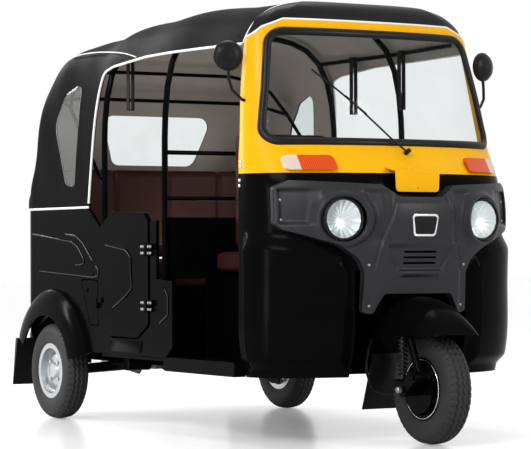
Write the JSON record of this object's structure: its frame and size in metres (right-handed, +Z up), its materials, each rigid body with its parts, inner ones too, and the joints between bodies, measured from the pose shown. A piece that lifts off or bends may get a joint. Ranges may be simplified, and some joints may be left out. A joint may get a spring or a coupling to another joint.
{
  "type": "auto rickshaw",
  "caption": "Hollow steel cab with a handlebar-steered front wheel, half door, driver's seat, passenger bench and a soft canopy on hoops.",
  "frame": {"origin": "centre of the footprint of the whole vehicle, on the ground under its tyres", "axes": "+X forward towards the front wheel, +Y to the vehicle's left, +Z up"},
  "size_m": [2.635, 1.3, 1.708],
  "materials": {
    "black_paint": "gloss",
    "yellow_paint": "gloss",
    "grey_plastic": "satin",
    "rubber": "matte",
    "tyre": "matte",
    "clear_glass": "clear",
    "clear_vinyl": "clear",
    "lamp_clear": "clear",
    "lamp_amber": "gloss",
    "lamp_red": "gloss",
    "bare_steel": "satin",
    "chrome": "polished",
    "canopy_vinyl": "matte",
    "seat_vinyl": "satin"
  },
  "bodies": {
    "body": {"floor_pan": "black_paint", "underframe": "black_paint", "front_cowl": "black_paint", "windscreen_frame": "yellow_paint", "windscreen_gasket": "rubber", "windscreen_glass": "clear_glass", "side_panel_right": "black_paint", "side_panel_left": "black_paint", "rear_panel": "black_paint", "wheel_arches": "grey_plastic", "mud_flaps": "rubber", "rear_bumper": "black_paint", "tail_lamps": "lamp_red", "lamp_fascia": "grey_plastic", "badge_plate": "chrome", "headlamps": "lamp_clear", "front_indicators": "lamp_amber", "wiper": "rubber", "mirrors": "grey_plastic", "roof_cap": "grey_plastic", "canopy": "canopy_vinyl", "canopy_windows": "clear_vinyl", "canopy_frame": "black_paint", "grab_straps": "canopy_vinyl", "partition": "black_paint", "driver_seat_base": "black_paint", "driver_cushion": "seat_vinyl", "driver_backrest": "seat_vinyl", "passenger_seat_base": "black_paint", "passenger_cushion": "seat_vinyl", "passenger_backrest": "seat_vinyl", "dashboard": "grey_plastic", "engine_block": "bare_steel", "silencer": "bare_steel", "rear_arm_right": "black_paint", "rear_arm_left": "black_paint", "drive_shafts": "bare_steel", "rear_springs": "black_paint"},
    "steering": {"steering_column": "black_paint", "handlebar": "grey_plastic", "front_link": "black_paint", "front_spring": "black_paint", "front_mudguard": "black_paint", "brake_hose": "rubber"},
    "front_wheel": {"front_tyre": "tyre", "front_rim": "black_paint"},
    "rear_wheel_right": {"rear_tyre_right": "tyre", "rear_rim_right": "bare_steel"},
    "rear_wheel_left": {"rear_tyre_left": "tyre", "rear_rim_left": "bare_steel"},
    "door": {"door_right": "black_paint"},
    "flap": {"access_flap": "black_paint"},
    "hatch": {"engine_hatch": "black_paint"}
  },
  "joints": [
    {"name": "steering_turn", "type": "hinge", "parent": "body", "child": "steering", "pos_m": [0.964, 0, 0.475], "axis": [-0.4226, 0, 0.9063], "range_deg": [-40, 40]},
    {"name": "front_wheel_spin", "type": "hinge", "parent": "steering", "child": "front_wheel", "pos_m": [1.1105, 0, 0.207], "axis": [0, 1, 0], "continuous": true},
    {"name": "rear_wheel_right_spin", "type": "hinge", "parent": "body", "child": "rear_wheel_right", "pos_m": [-0.8895, -0.575, 0.207], "axis": [0, 1, 0], "continuous": true},
    {"name": "rear_wheel_left_spin", "type": "hinge", "parent": "body", "child": "rear_wheel_left", "pos_m": [-0.8895, 0.575, 0.207], "axis": [0, 1, 0], "continuous": true},
    {"name": "door_swing", "type": "hinge", "parent": "body", "child": "door", "pos_m": [-0.0005, -0.614, 0.6], "axis": [0, 0, 1], "range_deg": [0, 95]},
    {"name": "flap_swing", "type": "hinge", "parent": "body", "child": "flap", "pos_m": [-0.4585, -0.6075, 0.508], "axis": [0, 0, 1], "range_deg": [0, 100]},
    {"name": "hatch_lift", "type": "hinge", "parent": "body", "child": "hatch", "pos_m": [-1.2225, 0, 0.804], "axis": [0, 1, 0], "range_deg": [0, 80]}
  ]
}
